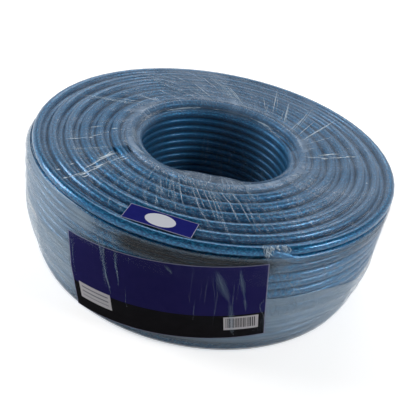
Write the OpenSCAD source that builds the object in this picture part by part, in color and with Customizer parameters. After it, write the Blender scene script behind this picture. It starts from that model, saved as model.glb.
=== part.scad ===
// Bulk coil of two-core shielded microphone cable, film wrapped, with its label and sticker.
// The origin is the centre of the base and +Z runs up the bore.

/* [Cable] */
// Outside diameter of the cable jacket
cable_d = 6.2; // [5.8:0.1:6.6]
// Diameter of each stranded conductor
conductor_d = 0.6; // [0.5:0.05:0.7]
// Wall of the insulation on each conductor
insulation_wall = 0.5; // [0.35:0.05:0.55]
// Wall of the textile wrap round the two cores
wrap_wall = 0.1; // [0.1:0.05:0.15]
// Wall of the spiral copper shield
shield_wall = 0.25; // [0.2:0.05:0.3]
// Clearance between one layer of the cable and the next
layer_gap = 0.05; // [0.03:0.01:0.06]
// Length of the cut end shown in section on the outer wall
outer_end_len = 16; // [10:1:20]
// Length of the cut end shown in section in the bore
inner_end_len = 7; // [5:0.5:8]

/* [Coil] */
// Free diameter through the bore, inside the film
bore_d = 108; // [102:1:114]
// Diameter over the film, from the top rim down to where the outer layer of turns ends
coil_d = 262; // [256:1:270]
// Diameter over the film at the base, drawn in by the missing outer layer
base_d = 250; // [246:1:258]
// Height over the film
coil_h = 87.4; // [85:0.2:92]

/* [Turns] */
// Turns that wind out across the top face
face_turns = 6.5; // [4.5:1:6.5]
// Least height over the base at which the cable's inner end may lie in the bore
inner_end_low = 8; // [4:1:14]
// Least height over the base at which the outer layer of turns may end on the wall
outer_end_low = 33; // [26:1:40]
// Gap between one turn and the next
turn_gap = 0.5; // [0.45:0.05:0.6]
// Gap between the turns and the plain core under them
seat_gap = 0.1; // [0.05:0.05:0.2]

/* [Film] */
// Thickness of each run of film, several plies laid together
film_t = 0.2; // [0.15:0.05:0.3]
// Gap between one wrapped layer and the next
wrap_gap = 0.1; // [0.05:0.05:0.15]
// Height of the lower edge of the girth film
girth_low = 1.2; // [1:0.1:3]
// Height of the upper edge of the lower girth film
girth_mid = 38; // [30:1:46]
// Overlap of the two girth films
girth_overlap = 4; // [2:1:8]
// Distance from the rim turn's centre down to the upper girth film
girth_top_drop = 3; // [1:0.5:8]
// Direction in which the bore film starts and ends
seam_azimuth = 90; // [20:1:160]
// Angle left open between its start and its end
seam_angle = 1.5; // [1:0.5:4]
// Chamfer of the film round the foot of the coil
foot_chamfer = 0.8; // [0.4:0.1:1]

/* [Label] */
// Width of the label on the outer wall
label_w = 124; // [110:1:130]
// Height of the label
label_h = 60; // [50:1:61]
// Height of the label's centre over the base
label_z = 39.5; // [39:0.1:41]
// Direction of the label's centre round the coil
label_azimuth = -97.3; // [-120:0.1:-60]
// Tilt of the label on the wall
label_tilt = 7.9; // [0:0.1:8]
// Thickness of the label
label_t = 0.2; // [0.1:0.05:0.3]

/* [Sticker] */
// Length of the sticker on the top face
sticker_w = 42.4; // [36:0.2:44]
// Width of the sticker
sticker_h = 15.4; // [12:0.2:16]
// Distance from the rim turn's centre in to the sticker's centre
sticker_inset = 10; // [9.8:0.1:14]
// Direction of the sticker's centre round the coil
sticker_azimuth = -101.7; // [-130:0.1:-60]
// Thickness of the sticker
sticker_t = 0.2; // [0.1:0.05:0.3]

/* [Hidden] */
$fn = 96;
slack = 1; // how far a cutting shape runs past what it cuts
round_facets = 180; // facets of a ring as large as the coil
corner_step = 15; // angle between points round a corner of the film

// Cable section, built outward from the conductors
insulation_d = conductor_d + 2 * insulation_wall;
pair_r = insulation_d + layer_gap;
wrap_bore = 2 * (pair_r + layer_gap);
wrap_d = wrap_bore + 2 * wrap_wall;
shield_bore = wrap_d + 2 * layer_gap;
shield_d = shield_bore + 2 * shield_wall;
jacket_bore = shield_d + 2 * layer_gap;
core_offset = (insulation_d + layer_gap) / 2;
// A filler touches both cores and the wrap, less the clearance
filler_r = pow(wrap_bore / 2, 2) / (wrap_bore + insulation_d) - layer_gap;
filler_offset = wrap_bore / 2 - filler_r - layer_gap;

// Route of the turns: up the bore, out over the top face and down the outer wall
loop_rings = 24;
tube_sides = 6;
ring_step = 360 / loop_rings;
chord_shrink = cos(ring_step / 2);
cable_r = cable_d / 2;
cable_flat = cable_r * cos(180 / tube_sides);
turn_spacing = cable_d + turn_gap;
start_azimuth = -90;

// Layers outside the turns on the wall: two girth films, the label and the bore film
wall_stack = 3 * film_t + label_t + 4 * wrap_gap;
face_stack = film_t + sticker_t + 2 * wrap_gap;
turn_top = coil_h - face_stack;
turn_z = turn_top - cable_flat;
rim_r = coil_d / 2 - wall_stack - cable_r;
bore_wall_r = bore_d / 2 + film_t + wrap_gap;
bore_turn_r = (bore_wall_r + cable_r) / chord_shrink;

// The turn next to the face climbs more, to stay clear of the face's nearest turn
face_pitch = (rim_r - bore_turn_r) / face_turns;
climb = face_pitch * turn_spacing / sqrt(pow(face_pitch, 2) - pow(turn_spacing, 2));
function drop(turns) = turns <= 1 ? climb * turns : climb + turn_spacing * (turns - 1);

// As many turns and a half down the bore and the wall as the height has room for
function turns_down_to(low) = floor((turn_z - climb - low) / turn_spacing) + 0.5;
bore_turns = turns_down_to(inner_end_low);
wall_turns = turns_down_to(outer_end_low);
bore_steps = bore_turns * loop_rings;
face_steps = face_turns * loop_rings;
last_step = bore_steps + face_steps + wall_turns * loop_rings;
bore_end_z = turn_z - drop(bore_turns);
wall_end_z = turn_z - drop(wall_turns);

// The wall is straight down to the end of the outer layer and draws in from there
knee_z = wall_end_z - cable_r;
function film_r(z) = (z > knee_z ? coil_d : base_d + (coil_d - base_d) * z / knee_z) / 2;
function wall_r(z) = film_r(z) - wall_stack;

function at(azimuth, r, z) = [r * cos(azimuth), r * sin(azimuth), z];
function route(i) =
    let (azimuth = start_azimuth + i * ring_step)
    i < bore_steps ? at(azimuth, bore_turn_r, turn_z - drop((bore_steps - i) / loop_rings))
    : i < bore_steps + face_steps
    ? at(azimuth, bore_turn_r + face_pitch * (i - bore_steps) / loop_rings, turn_z)
    : at(azimuth, rim_r, turn_z - drop((i - bore_steps - face_steps) / loop_rings));

// Each end runs straight and level for one cable diameter, along the next chord
inner_azimuth = start_azimuth - ring_step / 2;
outer_azimuth = start_azimuth + (last_step + 0.5) * ring_step;
inner_run = [sin(inner_azimuth), -cos(inner_azimuth), 0];
outer_run = [-sin(outer_azimuth), cos(outer_azimuth), 0];
inner_cut = route(0) + cable_d * inner_run;
outer_cut = route(last_step) + cable_d * outer_run;
points = concat([inner_cut], [for (i = [0:last_step]) route(i)], [outer_cut]);
last = len(points) - 1;

function unit(v) = v / norm(v);
function heading(i) = unit(points[min(i + 1, last)] - points[max(i - 1, 0)]);
function outward(i) =
    let (away = [points[i][0], points[i][1], 0])
    unit(away - (away * heading(i)) * heading(i));
function ring(i) =
    let (u = outward(i), v = cross(heading(i), u))
    [for (k = [0:tube_sides - 1])
        let (a = k * 360 / tube_sides)
        points[i] + cable_r * (cos(a) * u + sin(a) * v)];

// Least gap of the tube to itself, measured between points half a loop or more apart
half_loop = loop_rings / 2;
self_gap = min([for (i = [0:last - half_loop]) for (j = [i + half_loop:last])
                norm(points[i] - points[j])]) - cable_d;
echo(str("least gap of the turns to themselves: ", self_gap, " mm"));

module tube_along_points() {
    quad = [for (i = [0:last - 1]) for (k = [0:tube_sides - 1])
            let (a = i * tube_sides + k, b = i * tube_sides + (k + 1) % tube_sides)
            each [[a, b, b + tube_sides], [a, b + tube_sides, a + tube_sides]]];
    start_cap = [for (k = [1:tube_sides - 2]) [0, k + 1, k]];
    first = last * tube_sides;
    end_cap = [for (k = [1:tube_sides - 2]) [first, first + k, first + k + 1]];
    polyhedron([for (i = [0:last]) each ring(i)], concat(quad, start_cap, end_cap));
}

module outer_turns() {
    color("#1f6fa8")
    tube_along_points();
}

// Plain mass of the turns under the outer layer, stepped where that layer ends
module inner_turns() {
    base_z = film_t + wrap_gap;
    top_z = turn_z - cable_flat - seat_gap;
    bore_step_z = bore_end_z - cable_r - seat_gap;
    wall_step_z = knee_z - seat_gap;
    behind_bore = bore_turn_r + cable_r + seat_gap;
    wall_inset = rim_r * (1 - chord_shrink) + cable_d + seat_gap;
    color("#184f7a")
    rotate_extrude($fn = round_facets)
    polygon([[bore_wall_r, base_z],
             [wall_r(base_z) - foot_chamfer, base_z],
             [wall_r(base_z + foot_chamfer), base_z + foot_chamfer],
             [wall_r(wall_step_z), wall_step_z],
             [wall_r(wall_step_z) - wall_inset, wall_step_z],
             [wall_r(top_z) - wall_inset, top_z],
             [behind_bore, top_z],
             [behind_bore, bore_step_z],
             [bore_wall_r, bore_step_z]]);
}

// A straight piece of the cable's section, laid from a cut along its run
module from_cut(cut, azimuth, length, shift = [0, 0]) {
    translate(cut)
    rotate([0, 0, azimuth])
    translate([shift[0], 0, shift[1]])
    rotate([90, 0, 0])
    translate([0, 0, -length])
    children();
}

module outer_end(shift = [0, 0]) {
    from_cut(outer_cut, outer_azimuth, outer_end_len, shift) children();
}

module inner_end(shift = [0, 0]) {
    from_cut(inner_cut, inner_azimuth + 180, inner_end_len, shift) children();
}

module sleeve(d, bore, length) {
    difference() {
        cylinder(h = length, d = d, $fn = 48);
        translate([0, 0, -slack])
        cylinder(h = length + 2 * slack, d = bore, $fn = 48);
    }
}

module jacket(length) {
    color("#1f6fa8")
    sleeve(cable_d, jacket_bore, length);
}

module shield(length) {
    color("#c9ccd0")
    sleeve(shield_d, shield_bore, length);
}

module textile_wrap(length) {
    color("#e8e4da")
    sleeve(wrap_d, wrap_bore, length);
}

module fillers(length) {
    color("#d9d2c0")
    for (side = [-1, 1])
        translate([0, side * filler_offset, 0])
        cylinder(h = length, r = filler_r, $fn = 24);
}

module insulation(tint, length) {
    color(tint)
    sleeve(insulation_d, conductor_d + 2 * layer_gap, length);
}

module conductor(length) {
    color("#b8733a")
    cylinder(h = length, d = conductor_d, $fn = 24);
}

// A ring of film on the wall, its inner face a distance outside the turns
module wall_ring(low, high, offset_r, thickness) {
    levels = [low, if (low < knee_z && knee_z < high) knee_z, high];
    inner = [for (z = levels) [wall_r(z) + offset_r, z]];
    outer = [for (i = [len(inner) - 1:-1:0]) inner[i] + [thickness, 0]];
    rotate_extrude($fn = round_facets)
    polygon(concat(inner, outer));
}

module upper_girth_film() {
    color("#a9c4d8", 0.4)
    wall_ring(girth_mid - girth_overlap, turn_z - girth_top_drop, wrap_gap, film_t);
}

module lower_girth_film() {
    color("#c3ccd2", 0.4)
    wall_ring(girth_low, girth_mid, 2 * wrap_gap + film_t, film_t);
}

// Outline of the coil's section, this far inside the outer face of the film
function section(inset) =
    let (low = inset,
         wall_reach = coil_d / 2 - rim_r - inset,
         bore_reach = bore_turn_r - bore_d / 2 - inset,
         top_reach = coil_h - turn_z - inset)
    concat([[bore_d / 2 + inset, low],
            [film_r(0) - inset - foot_chamfer, low],
            [film_r(foot_chamfer) - inset, low + foot_chamfer],
            [coil_d / 2 - inset, knee_z]],
           [for (a = [0:corner_step:90]) [rim_r + wall_reach * cos(a), turn_z + top_reach * sin(a)]],
           [for (a = [90:corner_step:180])
               [bore_turn_r + bore_reach * cos(a), turn_z + top_reach * sin(a)]]);

// Film wound through the bore and round the section, open only where it starts and ends
module bore_film() {
    color("#b9c8d4", 0.2)
    rotate([0, 0, seam_azimuth])
    rotate_extrude(angle = 360 - seam_angle, $fn = round_facets)
    difference() {
        polygon(section(0));
        polygon(section(film_t));
    }
}

module side_label() {
    color("#221f5e")
    intersection() {
        wall_ring(film_t + wrap_gap, turn_z, 3 * wrap_gap + 2 * film_t, label_t);
        rotate([0, 0, label_azimuth])
        translate([film_r(label_z), 0, label_z])
        rotate([label_tilt, 0, 0])
        cube([coil_h, label_w, label_h], center = true);
    }
}

module top_sticker() {
    color("#211a6e")
    rotate([0, 0, sticker_azimuth])
    translate([rim_r - sticker_inset - sticker_h / 2, -sticker_w / 2, turn_top + wrap_gap])
    cube([sticker_h, sticker_w, sticker_t]);
}

inner_turns();
outer_turns();
outer_end() jacket(outer_end_len);  // outer_end_jacket
outer_end() shield(outer_end_len);  // outer_end_shield
outer_end() textile_wrap(outer_end_len);  // outer_end_wrap
outer_end() fillers(outer_end_len);  // outer_end_fillers
outer_end([core_offset, 0]) insulation("#b03028", outer_end_len);  // outer_end_red_insulation
outer_end([core_offset, 0]) conductor(outer_end_len);  // outer_end_red_conductor
outer_end([-core_offset, 0]) insulation("#f0efe9", outer_end_len);  // outer_end_white_insulation
outer_end([-core_offset, 0]) conductor(outer_end_len);  // outer_end_white_conductor
inner_end() jacket(inner_end_len);  // inner_end_jacket
inner_end() shield(inner_end_len);  // inner_end_shield
inner_end() textile_wrap(inner_end_len);  // inner_end_wrap
inner_end() fillers(inner_end_len);  // inner_end_fillers
inner_end([core_offset, 0]) insulation("#b03028", inner_end_len);  // inner_end_red_insulation
inner_end([core_offset, 0]) conductor(inner_end_len);  // inner_end_red_conductor
inner_end([-core_offset, 0]) insulation("#f0efe9", inner_end_len);  // inner_end_white_insulation
inner_end([-core_offset, 0]) conductor(inner_end_len);  // inner_end_white_conductor
upper_girth_film();
lower_girth_film();
bore_film();
side_label();
top_sticker();
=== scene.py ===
import math
import random

import bpy
from mathutils import Matrix, Vector, noise


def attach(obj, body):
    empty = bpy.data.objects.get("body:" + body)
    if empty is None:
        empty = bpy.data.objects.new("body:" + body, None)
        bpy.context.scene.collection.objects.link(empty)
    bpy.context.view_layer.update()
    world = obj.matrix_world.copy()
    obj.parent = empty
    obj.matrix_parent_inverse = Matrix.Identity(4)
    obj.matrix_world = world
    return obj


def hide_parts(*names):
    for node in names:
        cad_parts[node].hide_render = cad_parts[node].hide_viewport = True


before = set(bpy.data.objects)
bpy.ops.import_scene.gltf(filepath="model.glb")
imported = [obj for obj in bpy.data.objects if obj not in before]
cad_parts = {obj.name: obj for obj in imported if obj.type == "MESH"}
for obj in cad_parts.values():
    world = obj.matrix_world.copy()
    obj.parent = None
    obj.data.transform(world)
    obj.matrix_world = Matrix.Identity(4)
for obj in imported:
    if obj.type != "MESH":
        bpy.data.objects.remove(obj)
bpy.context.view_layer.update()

bpy.ops.object.select_all(action="DESELECT")

# ---------------- driving sizes, in metres
MM = 0.001
CABLE_D = 6.2 * MM
CABLE_R = CABLE_D / 2
COIL_R = 131 * MM  # over the film, from the top rim down to the knee
BASE_R = 125 * MM  # over the film at the base
COIL_H = 87.4 * MM
BORE_TURN_R = 57.9 * MM  # centres of the innermost layer
RIM_TURN_R = 126.7 * MM  # centres of the outermost layer
HIGH_TOP = 83.7 * MM  # top turn of every second layer
LOW_BASE = 3.4 * MM  # bottom turn of the layers between them
INNER_END_Z = 11.81 * MM
OUTER_END_Z = 38.61 * MM
KNEE_Z = 35.5 * MM  # where the outer layer ends and the wall draws in
LABEL_AZIMUTH = -97.3
LABEL_TILT = 7.9
LABEL_Z = 39.5 * MM
LABEL_W = 124 * MM
LABEL_H = 60 * MM
STICKER_AZIMUTH = -101.7
STICKER_R = RIM_TURN_R - 10 * MM
STICKER_SIZE = (15.4 * MM, 42.4 * MM)
LABEL_HALF = 27  # degrees of the coil on either side of the label's middle
STICKER_HALF = 11  # the same for the sticker
LAYERS = 14
ROWS = 13
LAYER_STEP = (RIM_TURN_R - BORE_TURN_R) / (LAYERS - 1)
ROW_STEP = (HIGH_TOP - LOW_BASE) / (ROWS - 0.5)
LOW_TOP = HIGH_TOP - ROW_STEP / 2
SLACK_AZIMUTH = 190  # where slack turns make the wall stand out of round
SLACK_SPREAD = 24  # degrees
SLACK_OUT = 3.6 * MM
WAVER = 0.25 * MM  # of each turn, in and out


def smooth(t):
    """0 below 0, 1 above 1 and a soft step between them."""
    t = min(max(t, 0.0), 1.0)
    return t * t * (3 - 2 * t)


def above(value, limit, edge):
    """0 up to a limit, then 1 after a soft edge, both in millimetres."""
    return smooth((value - limit * MM) / (edge * MM))


def below(value, limit, edge):
    """0 past a limit, and 1 before a soft edge that ends there, both in millimetres."""
    return smooth((limit * MM - value) / (edge * MM))


def polar(azimuth, r, z):
    """A point from its direction in degrees, its radius and its height."""
    a = math.radians(azimuth)
    return Vector((r * math.cos(a), r * math.sin(a), z))


def angle_off(azimuth, centre):
    """How far a direction is from another, in degrees either way."""
    return (azimuth - centre + 180) % 360 - 180


def sector(azimuth, centre, half_width, edge):
    """1 within a sector of the coil, 0 outside it, with a soft edge in degrees."""
    return smooth((half_width + edge / 2 - abs(angle_off(azimuth, centre))) / edge)


def swell(azimuth, r, z):
    """How far the coil stands out of round at a place, from slack turns on one side."""
    side = math.exp(-(angle_off(azimuth, SLACK_AZIMUTH) / SLACK_SPREAD) ** 2)
    below_rim = smooth((HIGH_TOP - z) / (9 * MM)) * above(z, -10, 50)
    slack = SLACK_OUT * side * below_rim * above(r, 105, 21)
    waver = WAVER * math.sin(math.radians(3 * azimuth) + 40 * z / COIL_H)
    return slack + waver * smooth((r - BORE_TURN_R) / (20 * MM))


def make_piece(name, verts, faces, uv_name="", uvs=None, values=None):
    """A smooth piece from its points and faces, with a UV map and with values at its points."""
    mesh = bpy.data.meshes.new(name)
    mesh.from_pydata(verts, [], faces)
    if uvs:
        mesh.uv_layers.new(name=uv_name).data.foreach_set("uv", uvs)
    for value_name, numbers in (values or {}).items():
        mesh.attributes.new(value_name, "FLOAT", "POINT").data.foreach_set("value", numbers)
    mesh.polygons.foreach_set("use_smooth", [True] * len(faces))
    piece = bpy.data.objects.new(name, mesh)
    bpy.context.scene.collection.objects.link(piece)
    return piece


# ---------------- camera
IMAGE_PX = 416
FOCAL_PX = 622.8
SENSOR = 36  # mm
CAMERA_DISTANCE = 474.7 * MM
CAMERA_ELEVATION = 31.62  # degrees, as are the next three
CAMERA_YAW = 0.29
CAMERA_PITCH = -1.82
CAMERA_ROLL = 10.47
AIM_Z = 0.335 * COIL_R


def make_camera():
    """The camera, aimed at the middle of the coil and then turned off it a little."""
    data = bpy.data.cameras.new("camera")
    data.sensor_width = SENSOR
    data.lens = FOCAL_PX * SENSOR / IMAGE_PX
    data.clip_start = 0.01
    camera = bpy.data.objects.new("camera", data)
    bpy.context.scene.collection.objects.link(camera)
    way = Matrix.Rotation(math.radians(90 - CAMERA_ELEVATION), 4, "X")
    place = Vector((0, 0, AIM_Z)) + way @ Vector((0, 0, CAMERA_DISTANCE))
    for angle, axis in ((-CAMERA_YAW, "Y"), (CAMERA_PITCH, "X"), (CAMERA_ROLL, "Z")):
        way = way @ Matrix.Rotation(math.radians(angle), 4, axis)
    camera.matrix_world = Matrix.Translation(place) @ way
    bpy.context.scene.camera = camera


make_camera()


# ---------------- the cable
# One cable of about 100 m, wound in layers that lie in each other's grooves. A turn is level
# until it steps over to the next, so every second layer stands half a turn prouder of the
# end faces. It starts in the bore and ends on the outside of the wall.
CROSSING = 22 * MM  # length over which a turn steps to the next
FIRST_CROSSING = 236  # direction in which the cable leaves the bore's layer for the next
BACK_CROSSING = 112  # the same from the third layer on, under the gathered film
LAST_CROSSING = 288  # at the rim, under the tucked end of the film
UNDER_LABEL = 262  # and down the wall
BORE_HELIX_R = 57.3 * MM  # the bore's layer climbs steadily, just clear of the one behind it
BORE_HELIX_TURNS = 10
START_AZIMUTH = -90
END_AZIMUTH = 90
LEVEL_START = 8  # degrees over which the first turn stays level
END_TURN = 7.5  # degrees from a last point to the middle of the straight end
OUTER_LAYER_TURNS = 8
LEVEL_STEPS = 58  # points on the level part of a turn
CROSSING_STEPS = 6
TUBE_SIDES = 12
MID_LAYER = 8  # the first layer of the outer length
CORNER_TURN = (60.5 * MM, 5.6 * MM)  # the last turn of the layer behind the bore's


def layer_turns(layer):
    """Radius and height of each turn of a layer outside the bore's own, in winding order."""
    r = BORE_TURN_R + layer * LAYER_STEP
    if layer == 1:
        return [(r, HIGH_TOP - ROW_STEP * i) for i in range(ROWS - 1)] + [CORNER_TURN]
    if layer == LAYERS - 1:
        last = OUTER_LAYER_TURNS - 1
        return [(r, HIGH_TOP + (OUTER_END_Z - HIGH_TOP) * i / last) for i in range(last + 1)]
    if layer % 2:
        return [(r, HIGH_TOP - ROW_STEP * i) for i in range(ROWS)]
    return [(r, LOW_BASE + ROW_STEP * i) for i in range(ROWS)]


def bore_helix():
    """Places on the bore's layer, which climbs steadily from the cable's start to the top."""
    end = FIRST_CROSSING + 360 * BORE_HELIX_TURNS
    steps = LEVEL_STEPS * (BORE_HELIX_TURNS + 1)
    places = []
    for i in range(steps):
        azimuth = START_AZIMUTH + (end - START_AZIMUTH) * i / steps
        wound = azimuth - START_AZIMUTH - LEVEL_START
        run_in = smooth(wound / 60)
        climb = max(wound, 0) / (end - START_AZIMUTH - LEVEL_START)
        places.append((azimuth, BORE_TURN_R + (BORE_HELIX_R - BORE_TURN_R) * run_in,
                       INNER_END_Z + (LOW_TOP - INNER_END_Z) * climb))
    return places


def crossing_azimuth(layer, row):
    """The direction in which a turn steps over to the next one.

    It runs round gradually in the hidden rows of two pairs of layers."""
    last_pair = LAYERS - 3
    if layer == LAYERS - 1 and row > 0:
        return UNDER_LABEL
    if layer < 3:
        done = ((layer - 1) * ROWS + row + 1) / (2 * ROWS)
        return FIRST_CROSSING + (BACK_CROSSING - FIRST_CROSSING) * done
    if layer < last_pair:
        return BACK_CROSSING
    done = min(((layer - last_pair) * ROWS + row + 1) / (2 * ROWS), 1)
    return BACK_CROSSING + (LAST_CROSSING - BACK_CROSSING) * done


def wind():
    """Points of the whole cable, and the index at which its outer length begins."""
    turns = [(layer, row, r, z) for layer in range(1, LAYERS)
             for row, (r, z) in enumerate(layer_turns(layer))]
    points = bore_helix()
    split = 0
    level_end = FIRST_CROSSING + 360 * BORE_HELIX_TURNS
    from_r, from_z = BORE_HELIX_R, LOW_TOP
    for n, (layer, row, r, z) in enumerate(turns):
        width = math.degrees(CROSSING / r)
        for i in range(CROSSING_STEPS):
            t = smooth(i / CROSSING_STEPS)
            points.append((level_end + width * i / CROSSING_STEPS,
                           from_r + (r - from_r) * t, from_z + (z - from_z) * t))
        if not split and layer == MID_LAYER:
            split = len(points)
        begin = level_end + width
        turn = BORE_HELIX_TURNS + 1 + n
        is_last = n == len(turns) - 1
        level_end = 360 * turn + (END_AZIMUTH if is_last else crossing_azimuth(layer, row))
        for i in range(LEVEL_STEPS):
            points.append((begin + (level_end - begin) * i / LEVEL_STEPS, r, z))
        from_r, from_z = r, z
    points.append((level_end, from_r, from_z))
    route = [polar(a, r + swell(a, r, z), z) for a, r, z in points]
    return route, split


def end_run(point, azimuth, sign):
    """The straight end of the cable, one diameter long, that meets its cut end."""
    a = math.radians(azimuth + sign * END_TURN)
    return point + sign * CABLE_D * Vector((-math.sin(a), math.cos(a), 0))


def cable_length(points):
    """The length of a run of cable through its points."""
    return sum((b - a).length for a, b in zip(points, points[1:]))


def make_cable(name, points, along):
    """A round tube along the points, with its length and its girth in metres in its UV map."""
    verts = []
    last = len(points) - 1
    for i, point in enumerate(points):
        heading = (points[min(i + 1, last)] - points[max(i - 1, 0)]).normalized()
        outward = Vector((point.x, point.y, 0))
        outward = (outward - outward.dot(heading) * heading).normalized()
        upward = outward.cross(heading)
        for k in range(TUBE_SIDES):
            a = 2 * math.pi * k / TUBE_SIDES
            verts.append(point + CABLE_R * (math.cos(a) * outward + math.sin(a) * upward))
    faces = []
    uvs = []
    girth_step = math.pi * CABLE_D / TUBE_SIDES
    for i in range(last):
        step = (points[i + 1] - points[i]).length
        for k in range(TUBE_SIDES):
            a = i * TUBE_SIDES + k
            b = i * TUBE_SIDES + (k + 1) % TUBE_SIDES
            faces.append((a, b, b + TUBE_SIDES, a + TUBE_SIDES))
            low, high = k * girth_step, (k + 1) * girth_step
            uvs += [along, low, along, high, along + step, high, along + step, low]
        along += step
    for ring, end in ((range(TUBE_SIDES - 1, -1, -1), 0), (range(TUBE_SIDES), last)):
        faces.append([end * TUBE_SIDES + k for k in ring])
        uvs += [along, 0.0] * TUBE_SIDES
    return make_piece(name, verts, faces, "length_and_girth", uvs)


def make_cables():
    """The two lengths of the cable, each made as a round tube."""
    route, split = wind()
    route = ([end_run(route[0], START_AZIMUTH, -1)] + route
             + [end_run(route[-1], END_AZIMUTH, 1)])
    lengths = [("inner_cable_length", route[:split + 2], 0.0)]
    lengths.append(("outer_cable_length", route[split + 1:], cable_length(lengths[0][1])))
    made = []
    for name, points, along in lengths:
        piece = make_cable(name, points, along)
        made.append(piece)
        print(name, round(cable_length(points), 2), "m")
    return made


inner_cable, outer_cable = make_cables()
for cable, node, slot in ((inner_cable, "inner_turns", "inner_jacket"),
                          (outer_cable, "outer_turns", "cable_jacket")):
    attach(cable, "root")
    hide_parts(node)


# ---------------- the stretch film
# One web of film is wrapped through the bore and round the whole section. Two more lie under it
# and round the wall only. Each is made as one skin that stands for its plies.
SEAM_AZIMUTH = 90  # where each skin's two ends meet, out of sight at the back
WEB_WIDTH = 580 * MM  # of the through wrap, round the middle of the coil
WEB_LENGTH = 330 * MM  # of the through wrap, once round the section
WRAP_STEPS = 720  # round the coil
CREST_Z = 87.3 * MM  # the through wrap over the high turns
WRAP_WALL_R = 130.95 * MM  # the through wrap on the wall, outside the label
WRAP_FOOT_R = 124.9 * MM
WRAP_BORE_R = 54.1 * MM
FIRST_CREST_R = BORE_TURN_R + LAYER_STEP
FACE_Z = CREST_Z - 0.2 * MM  # the film is on the top face above this
WALL_TOP_Z = HIGH_TOP - 0.8 * MM  # where the bend over the rim ends
SOLE_Z = 0.1 * MM  # the film under the coil
LIP_BEND = (4.2 * MM, 4.4 * MM)  # radii of the bend round the bore's lip
LIP_START = LOW_TOP - 1.1 * MM  # distance along the section to the start of that bend
BORE_ROWS = 18  # of the skin, up the bore
LIP_ROWS = 6  # and round the lip
SEAM_GAP = 0.1  # degrees
SAG = 0.3 * MM  # of the film between two high turns
FINE_WRINKLE = 0.14 * MM
BROAD_WRINKLE = 0.2 * MM
FACE_LEAN = 380  # degrees per metre that the web runs round while it crosses the face
WALL_LEAN = 130  # the same on the wall
# Sectors of the coil, each with its middle, half width and soft edge in degrees.
STRAIGHT_LEFT = (-143, 20, 40)  # where the web runs straighter out over the face
STRAIGHT_RIGHT = (-56, 24, 40)
WRINKLED = (-100, 62, 30)
SPAN = (-90, 26, 40)  # where the film spans the bore's lip in front
SPAN_EDGE = (51.8 * MM, 85.4 * MM)
SPAN_FOOT_Z = 45 * MM  # where the spanning film has come back to the bore's turns


def section_run(start, end, steps):
    """Points on a straight run of the section, without its last one."""
    return [(start[0] + (end[0] - start[0]) * i / steps,
             start[1] + (end[1] - start[1]) * i / steps) for i in range(steps)]


def section_bend(middle, radii, first, last, steps):
    """Points on an elliptic bend of the section, angles in degrees, without its last one."""
    points = []
    for i in range(steps):
        a = math.radians(first + (last - first) * i / steps)
        points.append((middle[0] + radii[0] * math.cos(a), middle[1] + radii[1] * math.sin(a)))
    return points


def wrap_section():
    """Radius and height of the through wrap: up the bore, over the top, down the wall and back."""
    lip = (WRAP_BORE_R + LIP_BEND[0], LOW_TOP - 0.5 * MM)
    first_crest = (FIRST_CREST_R, CREST_Z)
    rim = (RIM_TURN_R, WALL_TOP_Z)
    knee = (WRAP_WALL_R, KNEE_Z)
    foot = (WRAP_FOOT_R, 2.2 * MM)
    sole = (WRAP_FOOT_R - 2 * MM, SOLE_Z)
    bore_foot = (WRAP_BORE_R + 1 * MM, SOLE_Z)
    points = section_run((WRAP_BORE_R, 0.6 * MM), (WRAP_BORE_R, lip[1]), BORE_ROWS)
    points += section_bend(lip, LIP_BEND, 180, 100, LIP_ROWS)
    points += section_run((lip[0] - 0.7 * MM, lip[1] + 4.3 * MM), first_crest, 4)
    points += section_run(first_crest, (RIM_TURN_R, CREST_Z), 56)
    points += section_bend(rim, (WRAP_WALL_R - RIM_TURN_R, CREST_Z - rim[1]), 90, 0, 8)
    points += section_run((WRAP_WALL_R, rim[1]), knee, 16)
    points += section_run(knee, foot, 9)
    points += section_run(foot, sole, 2)
    points += section_run(sole, bore_foot, 8)
    points.append(bore_foot)
    return points


def running_length(section):
    """Distance along a section at each of its points, and once more back at its start."""
    lengths = [0.0]
    for a, b in zip(section, section[1:] + section[:1]):
        lengths.append(lengths[-1] + math.hypot(b[0] - a[0], b[1] - a[1]))
    return lengths


WRAP_SECTION = wrap_section()
WRAP_LENGTHS = running_length(WRAP_SECTION)
FACE_START = next(s for s, (r, z) in zip(WRAP_LENGTHS, WRAP_SECTION) if r >= FIRST_CREST_R)
FACE_END = FACE_START + RIM_TURN_R - FIRST_CREST_R
WALL_START = next(s for s, (r, z) in zip(WRAP_LENGTHS, WRAP_SECTION) if r >= WRAP_WALL_R - 1e-6)


def face_place(r):
    """Distance along the through wrap at a radius on the top face."""
    return FACE_START + r - FIRST_CREST_R


def wall_place(z):
    """Distance along the through wrap at a height on the wall."""
    return WALL_START + WALL_TOP_Z - z


def face_lean(azimuth):
    """Degrees per metre that the web leans on the face: it runs straight out at two places."""
    straight = 0.8 * sector(azimuth, *STRAIGHT_LEFT) + sector(azimuth, *STRAIGHT_RIGHT)
    return FACE_LEAN * (1 - straight)


def web_lean(azimuth, s):
    """Degrees by which the web has run round the coil at a distance along the section."""
    on_face = min(max(s - FACE_START, 0.0), FACE_END - FACE_START)
    on_wall = max(s - FACE_END, 0.0)
    return face_lean(azimuth) * on_face + WALL_LEAN * on_wall


def ring_sag(r):
    """How deep the film dips at a radius between the high turns that carry it on the top face."""
    if not FIRST_CREST_R < r < RIM_TURN_R:
        return 0.0
    return SAG * math.sin(math.pi * (r - FIRST_CREST_R) / (2 * LAYER_STEP)) ** 2


def web_wrinkle(azimuth, s):
    """Height of the web's fine folds, which run along it and are closer in front."""
    a = (azimuth - SEAM_AZIMUTH) % 360 - web_lean(azimuth, s)
    in_front = 0.35 + 0.65 * sector(azimuth, *WRINKLED)
    fine = noise.noise(Vector((a * 0.75, s * 18, 3.1)))
    broad = noise.noise(Vector((a * 0.16, s * 12, 7.7)))
    return FINE_WRINKLE * fine * in_front + BROAD_WRINKLE * broad


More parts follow.
